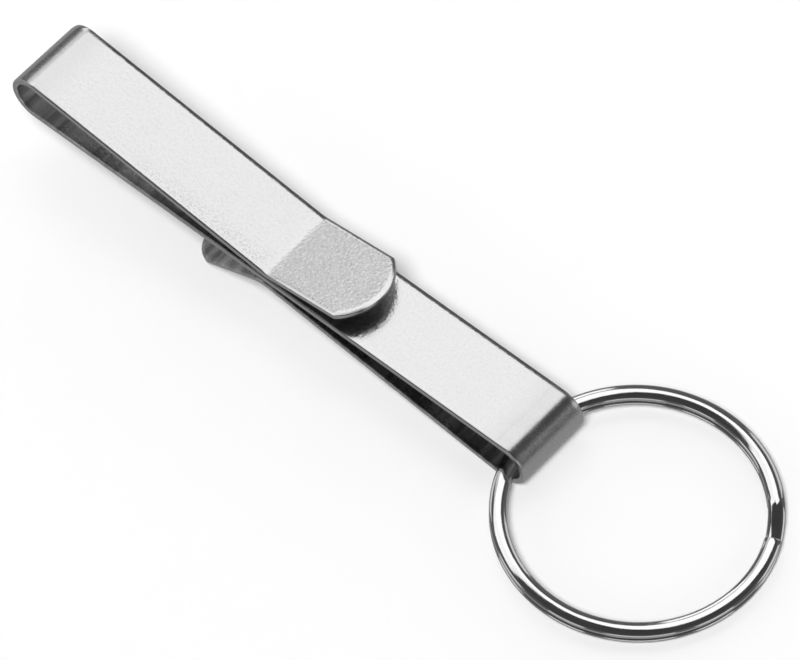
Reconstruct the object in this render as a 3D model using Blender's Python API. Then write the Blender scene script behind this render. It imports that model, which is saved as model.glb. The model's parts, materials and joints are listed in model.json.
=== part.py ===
"""Slip-on belt key clip: one folded strip of spring steel and a split ring for keys.

The strip is folded into a flat S. Its front leaf, the belt tongue, turns over at the top fold and
presses on the middle leaf, so that a belt or waistband is held between them. Its rear leaf turns
under at the bottom fold and presses on the back of the middle leaf, so that the split ring can be
slid in past the thumb tab and is then kept in the fold.

The strip's side view is drawn in the clip frame: X runs along the middle leaf from the top fold's
centre to the bottom fold's centre, and Z = 0 is the middle leaf's front face. The whole clip then
lies on its back on Z = 0, +X towards the ring, and the origin is under the middle of its box.
"""
import math

import bmesh
import bpy
from mathutils import Matrix, Vector

# Spring-steel strip, in metres
STRIP_WIDTH = 0.0095
STRIP_THICKNESS = 0.0007
LEAF_SPAN = 0.065            # middle leaf, from fold centre to fold centre
TOP_FOLD_RADIUS = 0.00285    # outside of the bend over the belt
BOTTOM_FOLD_RADIUS = 0.00275  # outside of the bend that holds the ring
RIDGE_RADIUS = 0.004         # where a leaf turns away from the middle leaf again
EDGE_ROUNDING = 0.00012

# Free ends: each leaf touches the middle leaf half way along and then flares away from it
TONGUE_FLARE_DEG = 8.0
TONGUE_TIP_STRAIGHT = 0.0092
TONGUE_TIP_RADIUS = 0.0058
TAB_FLARE_DEG = 25.3
TAB_TIP_STRAIGHT = 0.0073
TAB_TIP_RADIUS = 0.0050

# Split ring
RING_OUTER_RADIUS = 0.0150
WIRE_RADIAL_WIDTH = 0.0018
TURN_HEIGHT = 0.00083
TURN_GAP = 0.00006
CROSSOVER_DEG = 35.0        # where the wire steps from one turn to the other
CROSSOVER_HALF_WIDTH_DEG = 9.0
WIRE_REST = Vector((-0.0004, 0.0, -0.00075))  # wire centre at rest, from the bottom fold's centre

# Gaps that keep neighbouring solids apart
FOLD_SPLIT_GAP = 0.0003     # across each fold, where the strip is divided so that it can flex
CONTACT_GAP = 0.0002        # under each ridge

# Smoothness
BEND_STEP_DEG = 7.5
TIP_STEPS = 8
TIP_LAST_DEG = 5.0
RING_STEP_DEG = 6.0
CROSSOVER_STEPS = 6
WIRE_SIDES = 12
WIRE_SQUARENESS = 2.2       # exponent of the wire's rounded section: 2 is an ellipse

HALF_WIDTH = STRIP_WIDTH / 2
HALF_THICKNESS = STRIP_THICKNESS / 2
MEAN_RING_RADIUS = RING_OUTER_RADIUS - WIRE_RADIAL_WIDTH / 2
LAYER_OFFSET = (TURN_HEIGHT + TURN_GAP) / 2
RING_HALF_HEIGHT = TURN_HEIGHT + TURN_GAP / 2


class StripPath:
    """The strip's middle line in side view, with its half width, drawn as it is bent up."""

    def __init__(self, x, z, heading_deg):
        self.x = x
        self.z = z
        self.heading = math.radians(heading_deg)
        self.stations = []
        self.mark(HALF_WIDTH)

    def mark(self, half_width):
        self.stations.append((self.x, self.z, self.heading, half_width))

    def forward(self, length, half_width=HALF_WIDTH):
        self.x += length * math.cos(self.heading)
        self.z += length * math.sin(self.heading)
        self.mark(half_width)

    def bend(self, radius, turn_deg):
        """Turn left for a positive angle and right for a negative one, on a round bend."""
        steps = max(2, math.ceil(abs(turn_deg) / BEND_STEP_DEG))
        turn = math.radians(turn_deg) / steps
        chord = 2 * radius * math.sin(abs(turn) / 2)
        for _ in range(steps):
            self.heading += turn / 2
            self.x += chord * math.cos(self.heading)
            self.z += chord * math.sin(self.heading)
            self.heading += turn / 2
            self.mark(HALF_WIDTH)

    def round_tip(self, straight, radius):
        """Run on at full width, then close in on an arc as wide as the strip."""
        self.forward(straight)
        corner = math.asin(HALF_WIDTH / radius)
        last = math.radians(TIP_LAST_DEG)
        reach = radius * math.cos(corner)
        for step in range(1, TIP_STEPS + 1):
            angle = corner + (last - corner) * step / TIP_STEPS
            self.forward(radius * math.cos(angle) - reach, radius * math.sin(angle))
            reach = radius * math.cos(angle)


def make_material(name, colour, roughness):
    material = bpy.data.materials.new(name)
    material.use_nodes = True
    shader = material.node_tree.nodes["Principled BSDF"]
    shader.inputs["Base Color"].default_value = (*colour, 1.0)
    shader.inputs["Metallic"].default_value = 1.0
    shader.inputs["Roughness"].default_value = roughness
    material.diffuse_color = (*colour, 1.0)
    return material


def loft(sections):
    """Join closed sections of equally many points into one closed mesh."""
    mesh = bmesh.new()
    rings = [[mesh.verts.new(point) for point in section] for section in sections]
    for ring, following in zip(rings, rings[1:]):
        for side in range(len(ring)):
            after = (side + 1) % len(ring)
            mesh.faces.new((ring[side], ring[after], following[after], following[side]))
    mesh.faces.new(list(reversed(rings[0])))
    mesh.faces.new(rings[-1])
    bmesh.ops.recalc_face_normals(mesh, faces=mesh.faces)
    return mesh


def add_object(name, mesh, material, parent):
    data = bpy.data.meshes.new(name)
    mesh.to_mesh(data)
    mesh.free()
    data.materials.append(material)
    data.shade_smooth()
    data.set_sharp_from_angle(angle=math.radians(35))
    part = bpy.data.objects.new(name, data)
    bpy.context.collection.objects.link(part)
    part.parent = parent
    return part


def add_empty(name, parent, location):
    empty = bpy.data.objects.new(name, None)
    empty.empty_display_size = 0.005
    bpy.context.collection.objects.link(empty)
    empty.parent = parent
    empty.location = location
    return empty


def round_edges(part):
    bevel = part.modifiers.new("edge_rounding", "BEVEL")
    bevel.width = EDGE_ROUNDING
    bevel.segments = 1
    bevel.limit_method = "ANGLE"
    bevel.angle_limit = math.radians(60)


def strip_sections(stations):
    """A flat section across the strip at each station of its path."""
    sections = []
    for x, z, heading, half_width in stations:
        out = Vector((-math.sin(heading), 0, math.cos(heading))) * HALF_THICKNESS
        middle = Vector((x, 0, z))
        side = Vector((0, half_width, 0))
        sections.append([middle + out - side, middle + out + side, middle - out + side, middle - out - side])
    return sections


def leaf_path(fold_radius, flare_deg, tip_straight, tip_radius):
    """Half of a fold, a straight leaf down to the ridge that touches, and the flared tip.

    Drawn as the tongue lies: the fold's centre is at X = 0 above the middle leaf's face. The
    straight leaf is the line that leaves the fold's circle above it and meets the ridge's below.
    """
    fold = fold_radius - HALF_THICKNESS
    fold_centre = Vector((0.0, fold_radius - STRIP_THICKNESS))
    ridge_centre = Vector((LEAF_SPAN / 2, CONTACT_GAP + HALF_THICKNESS + RIDGE_RADIUS))
    between = ridge_centre - fold_centre
    slope = math.asin((fold + RIDGE_RADIUS) / between.length) - math.atan2(between.y, between.x)
    straight = math.sqrt(between.length ** 2 - (fold + RIDGE_RADIUS) ** 2)
    slope_deg = math.degrees(slope)
    split_deg = math.degrees(FOLD_SPLIT_GAP / 2 / fold)
    split = math.radians(split_deg)
    path = StripPath(-fold * math.cos(split), fold_centre.y + fold * math.sin(split), 90 - split_deg)
    path.bend(fold, -(90 - split_deg + slope_deg))
    path.forward(straight)
    path.bend(RIDGE_RADIUS, slope_deg + flare_deg)
    path.round_tip(tip_straight, tip_radius)
    return path


def middle_leaf_path():
    """The middle leaf, with the near half of each fold."""
    top = TOP_FOLD_RADIUS - HALF_THICKNESS
    bottom = BOTTOM_FOLD_RADIUS - HALF_THICKNESS
    top_split = FOLD_SPLIT_GAP / 2 / top
    bottom_split_deg = math.degrees(FOLD_SPLIT_GAP / 2 / bottom)
    centre_z = TOP_FOLD_RADIUS - STRIP_THICKNESS
    start_deg = -90 + math.degrees(top_split)
    path = StripPath(-top * math.cos(top_split), centre_z - top * math.sin(top_split), start_deg)
    path.bend(top, -start_deg)
    path.forward(LEAF_SPAN)
    path.bend(bottom, -(90 - bottom_split_deg))
    return path


def flex_point(fold_radius):
    """How far beyond its centre a round fold flexes: at the centroid of its half circle."""
    return (fold_radius - HALF_THICKNESS) * 2 / math.pi


def build_tongue(steel, clip):
    """The front leaf, which turns about the top fold to let a belt in."""
    centre = Vector((-flex_point(TOP_FOLD_RADIUS), 0, TOP_FOLD_RADIUS - STRIP_THICKNESS))
    path = leaf_path(TOP_FOLD_RADIUS, TONGUE_FLARE_DEG, TONGUE_TIP_STRAIGHT, TONGUE_TIP_RADIUS)
    mesh = loft(strip_sections(path.stations))
    bmesh.ops.translate(mesh, verts=mesh.verts, vec=-centre)
    tongue = add_object("belt_tongue", mesh, steel, clip)
    tongue.location = centre
    round_edges(tongue)
    return tongue


def build_rear_leaf(steel, clip):
    """The rear leaf with the thumb tab: a leaf turned half round about the middle leaf."""
    turned = Matrix.Translation((LEAF_SPAN, 0, -STRIP_THICKNESS)) @ Matrix.Rotation(math.pi, 4, "Y")
    centre = Vector((LEAF_SPAN + flex_point(BOTTOM_FOLD_RADIUS), 0, -BOTTOM_FOLD_RADIUS))
    path = leaf_path(BOTTOM_FOLD_RADIUS, TAB_FLARE_DEG, TAB_TIP_STRAIGHT, TAB_TIP_RADIUS)
    mesh = loft(strip_sections(path.stations))
    bmesh.ops.transform(mesh, matrix=Matrix.Translation(-centre) @ turned, verts=mesh.verts)
    leaf = add_object("rear_leaf", mesh, steel, clip)
    leaf.location = centre
    round_edges(leaf)
    return leaf


def build_middle_leaf(steel, clip):
    leaf = add_object("middle_leaf", loft(strip_sections(middle_leaf_path().stations)), steel, clip)
    round_edges(leaf)
    return leaf


def wire_section(angle, layer_height):
    """The wire's rounded section at one angle round the ring, about the bottom fold's centre."""
    radial = Vector((math.cos(angle), math.sin(angle), 0))
    centre = WIRE_REST + Vector((MEAN_RING_RADIUS, 0, layer_height)) + radial * MEAN_RING_RADIUS
    points = []
    for side in range(WIRE_SIDES):
        turn = 2 * math.pi * side / WIRE_SIDES
        across = math.copysign(abs(math.cos(turn)) ** (2 / WIRE_SQUARENESS), math.cos(turn))
        up = math.copysign(abs(math.sin(turn)) ** (2 / WIRE_SQUARENESS), math.sin(turn))
        points.append(centre + radial * (across * WIRE_RADIAL_WIDTH / 2) + Vector((0, 0, up * TURN_HEIGHT / 2)))
    return points


def ring_angles():
    """Angles along both turns, from one wire end to the other, counted from the crossover."""
    full = 360 - CROSSOVER_HALF_WIDTH_DEG
    steps = round((full - CROSSOVER_HALF_WIDTH_DEG) / RING_STEP_DEG)
    turn = [CROSSOVER_HALF_WIDTH_DEG + (full - CROSSOVER_HALF_WIDTH_DEG) * step / steps
            for step in range(steps + 1)]
    crossing = [CROSSOVER_HALF_WIDTH_DEG * (2 * step / CROSSOVER_STEPS - 1) for step in range(1, CROSSOVER_STEPS)]
    return [-angle for angle in reversed(turn)] + crossing + turn


def build_split_ring(nickel, clip):
    """Two turns of wire, one above the other, that change places at the crossover.

    The ring swings about the bottom fold's centre, and its wire rests low in the fold.
    """
    sections = []
    for angle in ring_angles():
        way = max(-1.0, min(1.0, angle / CROSSOVER_HALF_WIDTH_DEG))
        layer_height = LAYER_OFFSET * math.sin(way * math.pi / 2)
        sections.append(wire_section(math.radians(angle + CROSSOVER_DEG), layer_height))
    ring = add_object("split_ring", loft(sections), nickel, clip)
    ring.location = Vector((LEAF_SPAN, 0, -BOTTOM_FOLD_RADIUS))
    return ring


def lowest_tab_point():
    """The lowest corner of the thumb tab, in the clip frame."""
    path = leaf_path(BOTTOM_FOLD_RADIUS, TAB_FLARE_DEG, TAB_TIP_STRAIGHT, TAB_TIP_RADIUS)
    x, z, heading, _ = path.stations[-1]
    outer = Vector((x - HALF_THICKNESS * math.sin(heading), z + HALF_THICKNESS * math.cos(heading)))
    return Vector((LEAF_SPAN - outer.x, 0, -STRIP_THICKNESS - outer.y))


def lay_down(clip):
    """Turn the clip so that its bottom fold and thumb tab both touch Z = 0."""
    fold = Vector((LEAF_SPAN, 0, -BOTTOM_FOLD_RADIUS))
    tab = lowest_tab_point()
    to_tab = fold - tab
    lean = math.atan2(to_tab.z, to_tab.x) - math.asin(BOTTOM_FOLD_RADIUS / to_tab.length)
    clip.matrix_world = Matrix.Rotation(lean, 4, "Y") @ Matrix.Translation(-tab)
    return lean


def lay_ring(ring, clip_lean):
    """Let the ring's far side down from the fold until it touches Z = 0."""
    bpy.context.view_layer.update()
    wire_height = (ring.matrix_world @ WIRE_REST).z
    slope = math.asin((wire_height - RING_HALF_HEIGHT) / (MEAN_RING_RADIUS + RING_OUTER_RADIUS))
    ring.rotation_euler = (0, slope - clip_lean, 0)


def centre_over_origin(clip, parts):
    """Move the clip along X and Y until the middle of its box is over the origin."""
    bpy.context.view_layer.update()
    points = [part.matrix_world @ vertex.co for part in parts for vertex in part.data.vertices]
    for axis in (0, 1):
        values = [point[axis] for point in points]
        clip.location[axis] -= (min(values) + max(values)) / 2
    bpy.context.view_layer.update()


def main():
    for existing in list(bpy.data.objects):
        bpy.data.objects.remove(existing)
    steel = make_material("spring_steel", (0.80, 0.80, 0.79), 0.28)
    nickel = make_material("nickel_plate", (0.74, 0.74, 0.75), 0.12)
    clip = add_empty("key_clip", None, (0, 0, 0))
    ring = build_split_ring(nickel, clip)
    parts = [build_middle_leaf(steel, clip), build_tongue(steel, clip), build_rear_leaf(steel, clip), ring]
    clip_lean = lay_down(clip)
    lay_ring(ring, clip_lean)
    centre_over_origin(clip, parts)


main()
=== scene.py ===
"""Looks for the belt key clip: a folded satin steel strip and a polished split ring.

The strip is one continuous piece of steel. Here it is five pieces cut on straight runs beside the
folds, all with the same section; the two folds' pieces stay fixed, on no body. Positions are
worked out in the clip frame, where X runs along the middle leaf from the top fold's centre to the
bottom fold's centre and Z = 0 is that leaf's front face, and then turned into the row frame.
"""
import json
import math
from functools import reduce

import bmesh
import bpy
from mathutils import Matrix, Vector


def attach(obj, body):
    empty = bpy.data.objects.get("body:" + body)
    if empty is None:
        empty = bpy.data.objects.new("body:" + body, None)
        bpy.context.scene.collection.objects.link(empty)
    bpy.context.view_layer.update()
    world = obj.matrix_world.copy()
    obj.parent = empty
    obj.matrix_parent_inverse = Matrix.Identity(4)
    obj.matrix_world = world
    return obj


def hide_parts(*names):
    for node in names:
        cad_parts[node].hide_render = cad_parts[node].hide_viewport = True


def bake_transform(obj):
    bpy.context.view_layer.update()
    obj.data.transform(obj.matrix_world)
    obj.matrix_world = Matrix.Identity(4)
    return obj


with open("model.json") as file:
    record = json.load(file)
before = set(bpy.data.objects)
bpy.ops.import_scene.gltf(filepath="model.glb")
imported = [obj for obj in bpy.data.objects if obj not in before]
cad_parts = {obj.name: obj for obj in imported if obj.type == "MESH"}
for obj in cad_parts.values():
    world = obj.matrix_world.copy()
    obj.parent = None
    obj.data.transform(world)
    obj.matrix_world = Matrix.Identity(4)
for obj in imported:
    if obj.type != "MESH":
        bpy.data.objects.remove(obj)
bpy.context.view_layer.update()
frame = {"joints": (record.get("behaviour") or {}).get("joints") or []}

MM = 0.001

# Strip, in millimetres, as in the CAD
WIDTH = 9.5
THICKNESS = 0.7
LEAF_SPAN = 65.0
TOP_FOLD_RADIUS = 2.85
BOTTOM_FOLD_RADIUS = 2.75
RIDGE_RADIUS = 4.0
CONTACT_GAP = 0.2
TONGUE_FLARE_DEG = 8.0
TONGUE_TIP_STRAIGHT = 9.2
TONGUE_TIP_RADIUS = 5.8
TAB_FLARE_DEG = 25.3
TAB_TIP_STRAIGHT = 7.3
TAB_TIP_RADIUS = 5.0
HALF_WIDTH = WIDTH / 2
HALF_THICKNESS = THICKNESS / 2

# Edges: a soft worn shoulder runs into a small round
SHOULDER_WIDTH = 0.60
SHOULDER_DROP = 0.09
NEAR_SHOULDER_DROP = 0.015     # on the -Y side, as far as the ridge
NEAR_SHOULDER_GROWTH = 5.0     # length over which it then grows to the full drop
SHOULDER_MARGIN = 0.25         # flat face kept beside the shoulder
CORNER_RADIUS = 0.13
TIP_CORNER_RADIUS = 0.6        # where a side meets the round free end, seen from above
TIP_CORNER_LEAST = 0.03        # radius left of it on rows drawn in by more

# Mesh of the strip
SEAM_SETBACK = 1.0             # straight run beside a fold that belongs to the fold's piece
LONG_STEP = 1.0
BEND_STEP_DEG = 4.0
SHOULDER_STEPS = 5
CORNER_STEPS = 4
TIP_CORNER_STEPS = 6
TIP_STEPS = 22
STRIP_SHARP_DEG = 40
SAME_PLACE = 1e-9

# Clip-frame heights from the middle leaf's body to the other's, one pair for each fold
TOP_FOLD_TURN = (0.0, 4.0)
BOTTOM_FOLD_TURN = (-THICKNESS, -4.6)

# Split ring, in millimetres, as in the CAD, but the wire a little rounder and the crossover shorter
RING_MEAN_RADIUS = 14.1
RING_OUTER_RADIUS = 15.0
WIRE_RADIAL_WIDTH = 1.8
TURN_HEIGHT = 0.83
TURN_GAP = 0.06
WIRE_REST = Vector((-0.4, 0.0, -0.75))   # the wire's middle, from the bottom fold's centre
CROSSOVER_DEG = 35.0
CROSSOVER_HALF_WIDTH_DEG = 8.5
CROSSOVER_EASE = 0.3           # share of the crossover's rise that follows a sine
WIRE_SQUARENESS = 1.85         # superellipse exponent of the section
WIRE_END_RADIUS = 0.2

# Mesh of the ring
WIRE_SIDES = 32
RING_STEP_DEG = 2.5
CROSSOVER_STEPS = 14
WIRE_END_STEPS = 4
RING_SHARP_DEG = 50

# The values that most of a noise lies between
NOISE_RANGE = (0.3, 0.7)

# Where the steel has each finish, its painted shade and its painted light, in millimetres, as (where it
# has none of it, where it has all):
# along the strip from the middle of the middle leaf, with the rear half negative, across, and out
INNER_FACE = (-0.10, -0.25)
# Painted light: the tongue's underside, in shade between the leaves, is coloured lighter between these
# places
PAINTED_LIGHT_UNDER_TONGUE = (8, 20)
REAR_HALF = (-31, -34)
FOLD_FROM, FOLD_TO = (29, 31.5), (44, 41)
WORN_ALONG_FROM, WORN_ALONG_TO = (50, 62), (73.5, 71.5)
WORN_ACROSS_FROM, WORN_ACROSS_TO = (-1.8, -3.9), (-4.6, -4.2)

# Studio, in metres. A light's brightness is what it looks like in a perfect mirror
FLOOR_DISC_RADIUS = 1.0
FLOOR_RADIUS = 2.6
WALL_CURVE = 0.5
WALL_TOP = 1.2
FLOOR_SIDES = 72
FLOOR_GREY = 0.90

# The surround's grey by height: 0 straight down, 0.5 the horizon, 1 straight up
SURROUND = ((0.0, 0.33), (0.49, 0.33), (0.505, 0.04), (0.53, 0.11), (0.78, 0.11), (0.90, 0.056),
            (1.0, 0.048))

# Level panels overhead: name, place, size, turn in degrees, brightness
PANEL_HEIGHT = 0.6
PANELS = (
    ("key", (-0.203, 0.322), (0.49, 0.32), -7, 1.21),
    ("side", (-0.616, 0.290), (0.34, 0.32), -7, 0.58),
    ("rim", (-0.364, 0.020), (0.25, 0.39), -30, 1.12),
)

# Lamps aimed at the clip from all round: name, azimuth, elevation, size, brightness
LAMP_DISTANCE = 0.72
LAMPS = (
    ("left", 140, 28, (0.21, 0.27), 1.15),
    ("back", -45, 16, (0.50, 0.36), 0.56),
    *((f"low_{azimuth}", azimuth, 19, (0.28, 0.36), 0.6) for azimuth in (0, 44, 88, 180, 225, 270)),
)

# The sun that fills the shadows
FILL_AZIMUTH_DEG = -60
FILL_ELEVATION_DEG = 60
FILL_WIDTH_DEG = 20
FILL_STRENGTH = 2.7

CAMERA_TARGET = Vector((0.0004, 0.0011, 0.0025))
CAMERA_AZIMUTH_DEG = -45.12
CAMERA_ELEVATION_DEG = 55.24
CAMERA_ROLL_DEG = -4.506
CAMERA_DISTANCE = 0.67
CAMERA_LENS_MM = 292.5
CAMERA_SENSOR_MM = 36.0


# ---------------------------------------------------------------- frames

def joint_point(name):
    """A joint's position at rest, in millimetres."""
    return Vector(next(j["pos_m"] for j in frame["joints"] if j["name"] == name)) / MM


def clip_to_row():
    """The clip frame's place in the row frame and its lean, from two joints known in both frames."""
    # the tongue's hinge is at the centroid of the fold's half circle
    flex_reach = (TOP_FOLD_RADIUS - HALF_THICKNESS) * 2 / math.pi
    tongue_hinge = Vector((-flex_reach, 0, TOP_FOLD_RADIUS - THICKNESS))
    bottom_centre = Vector((LEAF_SPAN, 0, -BOTTOM_FOLD_RADIUS))
    along = bottom_centre - tongue_hinge
    found = joint_point("ring_swing") - joint_point("tongue_flex")
    lean = math.atan2(along.z, along.x) - math.atan2(found.z, found.x)
    turn = Matrix.Rotation(lean, 4, "Y")
    return Matrix.Translation(joint_point("ring_swing") - turn @ bottom_centre) @ turn, lean


CLIP, CLIP_LEAN = clip_to_row()


class Profile:
    """Side view of half the strip: from the middle of the middle leaf, round a fold, to a free end.

    Drawn as the tongue's half lies. turned=True gives the other half, turned round the leaf.
    """

    def __init__(self, fold_radius, flare_deg, turned):
        fold = fold_radius - HALF_THICKNESS
        # from the fold's centre to the ridge's: the straight leaf touches both, on opposite sides
        between = Vector((LEAF_SPAN / 2, CONTACT_GAP + HALF_THICKNESS + RIDGE_RADIUS
                          - (fold_radius - THICKNESS)))
        slope = math.asin((fold + RIDGE_RADIUS) / between.length) - math.atan2(between.y, between.x)
        straight = math.sqrt(between.length ** 2 - (fold + RIDGE_RADIUS) ** 2)
        ridge_turn = slope + math.radians(flare_deg)
        self.turned = turned
        self.fold_start = LEAF_SPAN / 2
        self.fold_end = self.fold_start + fold * (math.pi + slope)
        self.ridge_start = self.fold_end + straight
        self.ridge_end = self.ridge_start + RIDGE_RADIUS * ridge_turn
        # each run: where it starts, and its curvature (left is positive)
        self.runs = []
        x, z, heading = LEAF_SPAN / 2, -HALF_THICKNESS, math.pi
        stops = ((self.fold_start, 0.0), (self.fold_end, -1 / fold), (self.ridge_start, 0.0),
                 (self.ridge_end, 1 / RIDGE_RADIUS), (math.inf, 0.0))
        start = 0.0
        for stop, curve in stops:
            self.runs.append((start, x, z, heading, curve))
            if stop < math.inf:
                x, z, heading = self.follow(x, z, heading, curve, stop - start)
                start = stop

    @staticmethod
    def follow(x, z, heading, curve, length):
        """Where a run leads after some length."""
        if curve == 0:
            return x + length * math.cos(heading), z + length * math.sin(heading), heading
        after = heading + curve * length
        return (x + (math.sin(after) - math.sin(heading)) / curve,
                z - (math.cos(after) - math.cos(heading)) / curve, after)

    def run_at(self, along):
        """The run that a place is on. The first one also serves the places before it."""
        return next((run for run in reversed(self.runs) if along >= run[0]), self.runs[0])

    def point(self, along, across, out):
        """A point of the strip in the row frame, in metres. out is positive on a fold's outside."""
        run = self.run_at(along)
        x, z, heading = self.follow(*run[1:], along - run[0])
        x -= out * math.sin(heading)
        z += out * math.cos(heading)
        if self.turned:
            x, z = LEAF_SPAN - x, -THICKNESS - z
        return (CLIP @ Vector((x, across, z))) * MM

    def stations(self, start, end):
        """Places along the strip, closer together round the bends."""
        marks = [start]
        breaks = [b for b in (self.fold_start, self.fold_end, self.ridge_start, self.ridge_end)
                  if start < b < end] + [end]
        for stop in breaks:
            first = marks[-1]
            curve = self.run_at(first + SAME_PLACE)[-1]
            step = math.radians(BEND_STEP_DEG) / abs(curve) if curve else LONG_STEP
            count = max(1, math.ceil((stop - first) / step))
            marks += [first + (stop - first) * i / count for i in range(1, count + 1)]
        return marks


FRONT = Profile(TOP_FOLD_RADIUS, TONGUE_FLARE_DEG, turned=False)
REAR = Profile(BOTTOM_FOLD_RADIUS, TAB_FLARE_DEG, turned=True)


# ---------------------------------------------------------------- strip meshes

def rim_profile():
    """(inset, out, drop) from one face's shoulder round the edge to the other's.

    drop is how much of the shoulder's drop a place has, and it comes off out.
    """
    front = [(CORNER_RADIUS + SHOULDER_WIDTH + SHOULDER_MARGIN, HALF_THICKNESS, 0.0)]
    for i in range(SHOULDER_STEPS + 1):
        share = i / SHOULDER_STEPS
        front.append((CORNER_RADIUS + SHOULDER_WIDTH * (1 - share), HALF_THICKNESS, share ** 2))
    for i in range(1, CORNER_STEPS + 1):
        angle = math.pi / 2 * i / CORNER_STEPS
        front.append((CORNER_RADIUS * (1 - math.sin(angle)),
                      HALF_THICKNESS - CORNER_RADIUS * (1 - math.cos(angle)), 1.0))
    return front + [(inset, -out, -drop) for inset, out, drop in reversed(front)]


def shoulder_drop(profile, along, side):
    """How far the shoulder falls at the edge: less on the -Y side until the free end flares."""
    if side > 0:
        return SHOULDER_DROP
    flared = max(0.0, min(1.0, (along - profile.ridge_start) / NEAR_SHOULDER_GROWTH))
    flared = flared ** 2 * (3 - 2 * flared)
    return NEAR_SHOULDER_DROP + (SHOULDER_DROP - NEAR_SHOULDER_DROP) * flared


def outline(stations, inset, tip):
    """The strip's edge on one side, as (along, across), drawn in by inset.

    tip is None, or where the full width ends and the radius of the round end that follows.
    """
    if tip is None:
        return [(along, HALF_WIDTH - inset) for along in stations]
    full_width_end, radius = tip
    corner = max(TIP_CORNER_RADIUS, inset + TIP_CORNER_LEAST)
    centre = full_width_end - math.sqrt(radius ** 2 - HALF_WIDTH ** 2)
    fillet_along = centre + math.sqrt((radius - corner) ** 2 - (HALF_WIDTH - corner) ** 2)
    fillet_across = HALF_WIDTH - corner
    meet = math.atan2(fillet_across, fillet_along - centre)
    edge = [(along, HALF_WIDTH - inset) for along in stations if along < full_width_end - LONG_STEP]
    corner_radius = corner - inset
    for i in range(TIP_CORNER_STEPS + 1):
        angle = math.pi / 2 + (meet - math.pi / 2) * i / TIP_CORNER_STEPS
        edge.append((fillet_along + corner_radius * math.cos(angle),
                     fillet_across + corner_radius * math.sin(angle)))
    for i in range(1, TIP_STEPS + 1):
        angle = meet * (1 - i / TIP_STEPS)
        edge.append((centre + (radius - inset) * math.cos(angle), (radius - inset) * math.sin(angle)))
    return edge


def strip_loops(mesh, profile, stations, tip):
    """Rows of vertices round the strip's rim, each with its +Y and its -Y side."""
    place = mesh.verts.layers.float_vector.new("strip_place")
    rim = mesh.verts.layers.float.new("rim")
    sign = -1 if profile.turned else 1
    loops = []
    for inset, out, drop in rim_profile():
        edge = outline(stations, inset, tip)
        sides = []
        for side in (1, -1):
            row = []
            for i, (along, across) in enumerate(edge):
                # both sides share the vertex at the very tip
                if side == -1 and tip and i == len(edge) - 1:
                    row.append(sides[0][-1])
                    continue
                height = out - drop * shoulder_drop(profile, along, side)
                vert = mesh.verts.new(profile.point(along, side * across, height))
                vert[place] = Vector((sign * along, side * across, height))
                vert[rim] = max(0.0, 1 - inset / (CORNER_RADIUS + SHOULDER_WIDTH))
                row.append(vert)
            sides.append(row)
        loops.append(sides)
    return loops


def skin_strip(mesh, loops, tip):
    """Faces over the rim, the two flat faces and the cut ends. The sheared edge has material 1."""
    def face(corners, material=0):
        kept = [v for i, v in enumerate(corners) if v is not corners[i - 1]]
        mesh.faces.new(kept).material_index = material

    count = len(loops[0][0])
    middle = len(loops) // 2
    for level, (upper, lower) in enumerate(zip(loops, loops[1:])):
        material = 1 if level == middle - 1 else 0
        for side in (0, 1):
            for i in range(count - 1):
                face((upper[side][i], upper[side][i + 1], lower[side][i + 1], lower[side][i]), material)
    for near, far in (loops[0], loops[-1]):
        for i in range(count - 1):
            face((near[i], near[i + 1], far[i + 1], far[i]))
    ends = (0,) if tip else (0, -1)
    for end in ends:
        mesh.faces.new([near[end] for near, far in loops] + [far[end] for near, far in reversed(loops)])


def strip_piece(name, profile, start, end, tip=None):
    """A length of strip between two places along it, with rounded edges, and a round tip at the end."""
    mesh = bmesh.new()
    skin_strip(mesh, strip_loops(mesh, profile, profile.stations(start, end), tip), tip)
    return finish_mesh(name, mesh, STRIP_SHARP_DEG)


def finish_mesh(name, mesh, sharp_deg):
    """A smooth-shaded object from a mesh, with a sharp edge wherever it turns by more than sharp_deg."""
    bmesh.ops.recalc_face_normals(mesh, faces=mesh.faces)
    data = bpy.data.meshes.new(name)
    mesh.to_mesh(data)
    mesh.free()
    data.shade_smooth()
    data.set_sharp_from_angle(angle=math.radians(sharp_deg))
    piece = bpy.data.objects.new(name, data)
    bpy.context.scene.collection.objects.link(piece)
    return piece


# ---------------------------------------------------------------- ring mesh

def wire_section(angle, height, inset):
    """The wire's rounded section at one angle, in the ring's frame about the fold's centre."""
    radial = Vector((math.cos(angle), math.sin(angle), 0))
    centre = WIRE_REST + Vector((RING_MEAN_RADIUS, 0, height)) + radial * RING_MEAN_RADIUS
    power = 2 / WIRE_SQUARENESS
    points = []
    for side in range(WIRE_SIDES):
        turn = 2 * math.pi * side / WIRE_SIDES
        across = math.copysign(abs(math.cos(turn)) ** power, math.cos(turn))
        up = math.copysign(abs(math.sin(turn)) ** power, math.sin(turn))
        points.append(centre + radial * (across * (WIRE_RADIAL_WIDTH / 2 - inset))
                      + Vector((0, 0, up * (TURN_HEIGHT / 2 - inset))))
    return points


def ring_stations():
    """(angle from the crossover, inset) from one wire end to the other."""
    near, far = CROSSOVER_HALF_WIDTH_DEG, 360 - CROSSOVER_HALF_WIDTH_DEG
    end_deg = math.degrees(WIRE_END_RADIUS / RING_MEAN_RADIUS)
    steps = round((far - near) / RING_STEP_DEG)
    turn = [(near + (far - end_deg - near) * i / steps, 0.0) for i in range(steps + 1)]
    for i in range(1, WIRE_END_STEPS + 1):
        angle = math.pi / 2 * i / WIRE_END_STEPS
        turn.append((far - end_deg * (1 - math.sin(angle)), WIRE_END_RADIUS * (1 - math.cos(angle))))
    crossing = [(near * (2 * i / CROSSOVER_STEPS - 1), 0.0) for i in range(1, CROSSOVER_STEPS)]
    return [(-angle, inset) for angle, inset in reversed(turn)] + crossing + turn


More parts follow.
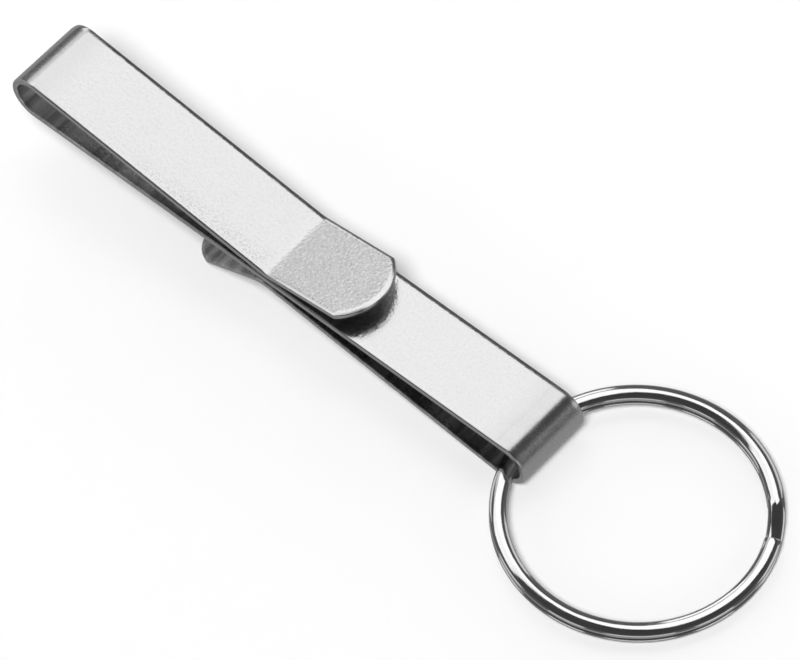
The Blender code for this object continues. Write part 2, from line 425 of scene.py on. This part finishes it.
def layer_height(angle_deg):
    """The wire's height at an angle from the crossover: one turn before it, the other after it."""
    way = max(-1.0, min(1.0, angle_deg / CROSSOVER_HALF_WIDTH_DEG))
    rise = (1 - CROSSOVER_EASE) * way + CROSSOVER_EASE * math.sin(way * math.pi / 2)
    return rise * (TURN_HEIGHT + TURN_GAP) / 2


def ring_to_row():
    """The ring's frame in the row frame: it hangs in the bottom fold, its far side on the table."""
    pivot = joint_point("ring_swing")
    half_height = TURN_HEIGHT + TURN_GAP / 2
    wire_height = (pivot + Matrix.Rotation(CLIP_LEAN, 3, "Y") @ WIRE_REST).z
    slope = math.asin((wire_height - half_height) / (RING_MEAN_RADIUS + RING_OUTER_RADIUS))
    return Matrix.Translation(pivot) @ Matrix.Rotation(slope, 4, "Y")


def ring_piece():
    """The wire's two turns, skinned from section to section."""
    to_row = ring_to_row()
    mesh = bmesh.new()
    place = mesh.verts.layers.float_vector.new("strip_place")
    rings = []
    for angle_deg, inset in ring_stations():
        section = wire_section(math.radians(angle_deg + CROSSOVER_DEG), layer_height(angle_deg), inset)
        along = math.radians(angle_deg) * RING_MEAN_RADIUS
        ring = []
        for side, point in enumerate(section):
            vert = mesh.verts.new((to_row @ point) * MM)
            turn = 2 * math.pi * side / WIRE_SIDES
            vert[place] = Vector((along, math.cos(turn), math.sin(turn)))
            ring.append(vert)
        rings.append(ring)
    for ring, following in zip(rings, rings[1:]):
        for side in range(WIRE_SIDES):
            after = (side + 1) % WIRE_SIDES
            mesh.faces.new((ring[side], ring[after], following[after], following[side]))
    mesh.faces.new(list(reversed(rings[0])))
    mesh.faces.new(rings[-1])
    return finish_mesh("split_ring_wire", mesh, RING_SHARP_DEG)


# ---------------------------------------------------------------- materials

class Nodes:
    """Short calls for building a metal material's nodes."""

    def __init__(self, name):
        self.material = bpy.data.materials.new(name)
        self.material.use_nodes = True
        self.tree = self.material.node_tree
        self.shader = self.tree.nodes["Principled BSDF"]
        self.shader.inputs["Metallic"].default_value = 1.0

    def add(self, kind, **settings):
        node = self.tree.nodes.new(kind)
        for key, value in settings.items():
            setattr(node, key, value)
        return node

    def feed(self, value, socket):
        """A number is set on the socket, and anything else is linked to it."""
        if isinstance(value, (int, float)):
            socket.default_value = value
        else:
            self.tree.links.new(value, socket)

    def place(self):
        """The surface's own coordinates: along, across and out in millimetres on the strip, and on the
        ring millimetres along its wire, then a place on a unit circle round it."""
        return self.add("ShaderNodeAttribute", attribute_name="strip_place").outputs["Vector"]

    def place_parts(self):
        """The surface's own coordinates, one by one."""
        split = self.add("ShaderNodeSeparateXYZ")
        self.feed(self.place(), split.inputs[0])
        return split.outputs

    def noise(self, scale, detail=2.0, roughness=0.5):
        """Noise over the surface's own coordinates, stretched by scale."""
        stretch = self.add("ShaderNodeVectorMath", operation="MULTIPLY")
        self.feed(self.place(), stretch.inputs[0])
        stretch.inputs[1].default_value = scale
        noise = self.add("ShaderNodeTexNoise")
        self.feed(stretch.outputs["Vector"], noise.inputs["Vector"])
        for key, number in (("Scale", 1.0), ("Detail", detail), ("Roughness", roughness)):
            noise.inputs[key].default_value = number
        return noise.outputs["Fac"]

    def remap(self, value, low, high, to_low, to_high, smooth=False):
        node = self.add("ShaderNodeMapRange", clamp=True)
        if smooth:
            node.interpolation_type = "SMOOTHSTEP"
        self.feed(value, node.inputs["Value"])
        for key, number in zip(("From Min", "From Max", "To Min", "To Max"), (low, high, to_low, to_high)):
            node.inputs[key].default_value = number
        return node.outputs["Result"]

    def spread(self, noise, low, high):
        """Noise's usual range spread over another one."""
        return self.remap(noise, *NOISE_RANGE, low, high)

    def span(self, value, start, end, smooth=False):
        """1 between two places and 0 beyond them. Each is given as (where it is 0, where it is 1)."""
        return self.product(self.remap(value, *start, 0, 1, smooth), self.remap(value, *end, 0, 1, smooth))

    def maths(self, operation, first, second=0.0):
        node = self.add("ShaderNodeMath", operation=operation)
        self.feed(first, node.inputs[0])
        self.feed(second, node.inputs[1])
        return node.outputs["Value"]

    def total(self, *values):
        return reduce(lambda first, second: self.maths("ADD", first, second), values)

    def product(self, *values):
        return reduce(lambda first, second: self.maths("MULTIPLY", first, second), values)

    def bump(self, height, strength, distance_mm, normal=None):
        node = self.add("ShaderNodeBump")
        self.feed(strength, node.inputs["Strength"])
        self.feed(distance_mm * MM, node.inputs["Distance"])
        self.feed(height, node.inputs["Height"])
        if normal is not None:
            self.feed(normal, node.inputs["Normal"])
        return node.outputs["Normal"]

    def finish(self, grey, roughness, normal):
        """Connects the shader, with a neutral colour of one brightness, and gives the material."""
        colour = self.add("ShaderNodeCombineColor")
        for socket in colour.inputs:
            self.feed(grey, socket)
        self.feed(colour.outputs["Color"], self.shader.inputs["Base Color"])
        self.feed(roughness, self.shader.inputs["Roughness"])
        self.feed(normal, self.shader.inputs["Normal"])
        return self.material


def satin_steel_painted_shading():
    """Tumbled spring steel: a fine pebbled grain and soft mottling all over, faint rolled bands on the
    inner faces whose colour also darkens those faces as painted shade, painted light that lightens the
    tongue's underside, dark specks on the tongue's -Y side before its ridge, and smoother, duller folds."""
    nodes = Nodes("satin_steel_painted_shading")
    grain = nodes.noise((3.0, 3.0, 3.0), detail=1.5)
    mottle = nodes.noise((0.35, 0.5, 0.5), detail=3.0)
    bands = nodes.noise((0.8, 0.06, 0.4), detail=3.0, roughness=0.6)
    specks = nodes.noise((5.0, 5.0, 5.0), roughness=0.6)
    rim = nodes.add("ShaderNodeAttribute", attribute_name="rim").outputs["Fac"]
    along, across, out = nodes.place_parts()

    inner_face = nodes.remap(out, *INNER_FACE, 0, 1)
    # Painted light: where the tongue's underside is coloured lighter, to lift the shade in the top fold
    # and in the crescent under the lip
    painted_light_under_tongue = nodes.product(inner_face, nodes.remap(along, *PAINTED_LIGHT_UNDER_TONGUE, 0, 1))
    # Painted shade: the inner faces, under the tongue and on the rear half, whose colour is darkened
    inside_painted_shade = nodes.total(painted_light_under_tongue, nodes.product(inner_face, nodes.remap(along, *REAR_HALF, 0, 1)))
    worn = nodes.product(nodes.span(along, WORN_ALONG_FROM, WORN_ALONG_TO, smooth=True),
                         nodes.span(across, WORN_ACROSS_FROM, WORN_ACROSS_TO, smooth=True))
    fold = nodes.span(nodes.maths("ABSOLUTE", along), FOLD_FROM, FOLD_TO)

    grey = nodes.total(nodes.spread(grain, 0.66, 0.715),
                       nodes.spread(mottle, -0.01, 0.01),
                       nodes.product(nodes.remap(specks, 0.48, 0.66, 0, -0.14), worn),
                       # Painted shade: streaky bands darken the inner faces overall, most plainly on the
                       # rear leaf's tab
                       nodes.product(nodes.remap(bands, 0.40, 0.60, -0.28, 0.14), inside_painted_shade),
                       # painted light: 0.16 lighter under the tongue
                       nodes.product(painted_light_under_tongue, 0.16))
    roughness = nodes.total(nodes.spread(mottle, 0.17, 0.21),
                            nodes.spread(grain, -0.02, 0.02),
                            nodes.product(inside_painted_shade, 0.10),
                            nodes.product(fold, 0.07),
                            nodes.product(rim, -0.05))
    rolled = nodes.bump(nodes.product(bands, inside_painted_shade), 0.5, 0.10)
    pebbling = nodes.product(nodes.remap(rim, 0, 0.6, 0.6, 0.08), nodes.remap(fold, 0, 1, 1, 0.12))
    return nodes.finish(grey, roughness, nodes.bump(grain, pebbling, 0.045, rolled))


def cut_edge_steel_painted_shade():
    """The strip's sheared edge: duller than its faces, with fine marks across it, and greyer, partly its
    own tone and partly painted shade for the darker reflection its sides show.
    """
    nodes = Nodes("cut_edge_steel_painted_shade")
    marks = nodes.noise((3.0, 3.0, 14.0))
    # Painted shade: part of this darker grey stands in for the darker reflection on the strip's sides
    return nodes.finish(nodes.spread(marks, 0.53, 0.65), nodes.spread(marks, 0.30, 0.42),
                        nodes.bump(marks, 0.3, 0.01))


def polished_nickel():
    """The ring's bright plating over drawn wire: faint draw lines along it and small rubs."""
    nodes = Nodes("polished_nickel")
    lines = nodes.noise((0.25, 9.0, 9.0))
    rubs = nodes.noise((0.9, 1.4, 1.4), detail=3.0)
    return nodes.finish(nodes.spread(rubs, 0.76, 0.82), nodes.remap(rubs, 0.35, 0.7, 0.06, 0.13),
                        nodes.bump(lines, 0.25, 0.008))


# ---------------------------------------------------------------- build

def build():
    """Five pieces of strip and the ring, in place of the four CAD nodes."""
    # The steel carries painted shade on its inner faces and painted light under the tongue; the cut edge's
    # grey is partly painted shade
    steel, edge, nickel = satin_steel_painted_shading(), cut_edge_steel_painted_shade(), polished_nickel()

    def strip(name, profile, start, end, tip=None):
        piece = strip_piece(name, profile, start, end, tip)
        piece.data.materials.append(steel)
        piece.data.materials.append(edge)
        return piece

    leaf_end = LEAF_SPAN / 2 - SEAM_SETBACK
    middle = strip("middle_leaf_plate", FRONT, -leaf_end, leaf_end)
    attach(middle, "clip")
    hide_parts("middle_leaf")

    halves = (
        (FRONT, "top_fold", "belt_tongue_plate", "belt_tongue", "tongue",
         TONGUE_TIP_STRAIGHT, TONGUE_TIP_RADIUS, 0.0, TOP_FOLD_TURN),
        (REAR, "bottom_fold", "rear_leaf_plate", "rear_leaf", "keeper",
         TAB_TIP_STRAIGHT, TAB_TIP_RADIUS, LEAF_SPAN, BOTTOM_FOLD_TURN),
    )
    for profile, fold_name, leaf_name, node, body, tip_straight, tip_radius, fold_x, turn in halves:
        seam = profile.fold_end + SEAM_SETBACK
        fold = strip(fold_name, profile, leaf_end, seam)
        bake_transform(fold)
        full_width_end = profile.ridge_end + tip_straight
        leaf = strip(leaf_name, profile, seam, full_width_end, tip=(full_width_end, tip_radius))
        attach(leaf, body)
        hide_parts(node)

    ring = ring_piece()
    ring.data.materials.append(nickel)
    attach(ring, "ring")
    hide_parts("split_ring")


# ---------------------------------------------------------------- studio

def direction(azimuth_deg, elevation_deg):
    """The way to a place seen from the clip. Azimuth runs from +X towards +Y."""
    azimuth, elevation = math.radians(azimuth_deg), math.radians(elevation_deg)
    return Vector((math.cos(elevation) * math.cos(azimuth), math.cos(elevation) * math.sin(azimuth),
                   math.sin(elevation)))


def floor():
    """A round pale floor that sweeps up into a low wall. Reflections see the surround in its place."""
    sweep = [(FLOOR_DISC_RADIUS, 0.0)]
    for angle_deg in range(0, 91, 10):
        angle = math.radians(angle_deg)
        sweep.append((FLOOR_RADIUS + WALL_CURVE * math.sin(angle), WALL_CURVE * (1 - math.cos(angle))))
    sweep.append((FLOOR_RADIUS + WALL_CURVE, WALL_TOP))
    points = []
    for radius, height in sweep:
        for side in range(FLOOR_SIDES):
            angle = 2 * math.pi * side / FLOOR_SIDES
            points.append((radius * math.cos(angle), radius * math.sin(angle), height))
    faces = [tuple(range(FLOOR_SIDES))]
    for row in range(len(sweep) - 1):
        inner, outer = row * FLOOR_SIDES, (row + 1) * FLOOR_SIDES
        for side in range(FLOOR_SIDES):
            after = (side + 1) % FLOOR_SIDES
            faces.append((inner + side, outer + side, outer + after, inner + after))
    mesh = bpy.data.meshes.new("floor")
    mesh.from_pydata(points, [], faces)
    mesh.shade_smooth()
    surface = bpy.data.objects.new("floor", mesh)
    surface.visible_glossy = False
    bpy.context.scene.collection.objects.link(surface)

    paint = bpy.data.materials.new("pale_floor")
    paint.use_nodes = True
    shader = paint.node_tree.nodes["Principled BSDF"]
    shader.inputs["Base Color"].default_value = (FLOOR_GREY, FLOOR_GREY, FLOOR_GREY, 1)
    shader.inputs["Roughness"].default_value = 0.9
    shader.inputs["Specular IOR Level"].default_value = 0.0
    mesh.materials.append(paint)


def surround():
    """A world of plain greys that changes only with height."""
    world = bpy.data.worlds.new("studio")
    bpy.context.scene.world = world
    world.use_nodes = True
    tree = world.node_tree
    where = tree.nodes.new("ShaderNodeTexCoord")
    split = tree.nodes.new("ShaderNodeSeparateXYZ")
    rise = tree.nodes.new("ShaderNodeMath")
    rise.operation = "MULTIPLY_ADD"
    rise.inputs[1].default_value = rise.inputs[2].default_value = 0.5
    ramp = tree.nodes.new("ShaderNodeValToRGB")
    tree.links.new(where.outputs["Generated"], split.inputs[0])
    tree.links.new(split.outputs["Z"], rise.inputs[0])
    tree.links.new(rise.outputs["Value"], ramp.inputs["Fac"])
    tree.links.new(ramp.outputs["Color"], tree.nodes["Background"].inputs["Color"])
    elements = ramp.color_ramp.elements
    for height, grey in SURROUND:
        ends = {0.0: 0, 1.0: len(elements) - 1}
        element = elements[ends[height]] if height in ends else elements.new(height)
        element.color = (grey, grey, grey, 1)


def soft_box(name, position, turn, size, brightness):
    """A rectangular light, which shines along its own -Z."""
    light = bpy.data.lights.new(name, "AREA")
    light.shape = "RECTANGLE"
    light.size, light.size_y = size
    light.energy = brightness * math.pi * size[0] * size[1]
    lamp = bpy.data.objects.new(name, light)
    lamp.location = position
    lamp.rotation_euler = turn
    bpy.context.scene.collection.objects.link(lamp)


def lamps():
    """Soft boxes overhead and all round, and a sun as fill, which reflections don't show."""
    for name, place, size, turn_deg, brightness in PANELS:
        soft_box(name, (*place, PANEL_HEIGHT), (0, 0, math.radians(turn_deg)), size, brightness)
    for name, azimuth_deg, elevation_deg, size, brightness in LAMPS:
        away = direction(azimuth_deg, elevation_deg)
        turn = (-away).to_track_quat("-Z", "Y").to_euler()
        soft_box(name, away * LAMP_DISTANCE, turn, size, brightness)

    sun = bpy.data.lights.new("fill", "SUN")
    sun.energy = FILL_STRENGTH
    sun.angle = math.radians(FILL_WIDTH_DEG)
    fill = bpy.data.objects.new("fill", sun)
    away = direction(FILL_AZIMUTH_DEG, FILL_ELEVATION_DEG)
    fill.rotation_euler = away.to_track_quat("Z", "Y").to_euler()
    fill.visible_glossy = False
    bpy.context.scene.collection.objects.link(fill)


def camera():
    """A long lens from the front right, high up, rolled a little."""
    view = bpy.data.objects.new("camera", bpy.data.cameras.new("camera"))
    bpy.context.scene.collection.objects.link(view)
    away = direction(CAMERA_AZIMUTH_DEG, CAMERA_ELEVATION_DEG)
    view.location = CAMERA_TARGET + away * CAMERA_DISTANCE
    upright = (-away).to_track_quat("-Z", "Y").to_matrix().to_4x4()
    view.rotation_euler = (upright @ Matrix.Rotation(math.radians(CAMERA_ROLL_DEG), 4, "Z")).to_euler()
    view.data.sensor_width = CAMERA_SENSOR_MM
    view.data.lens = CAMERA_LENS_MM
    view.data.clip_start = 0.01
    view.data.clip_end = 20.0
    bpy.context.scene.camera = view


def studio():
    """The floor, the light and the camera. None of them is part of the object."""
    bpy.context.scene.view_settings.view_transform = "Standard"
    floor()
    surround()
    lamps()
    camera()


build()
studio()
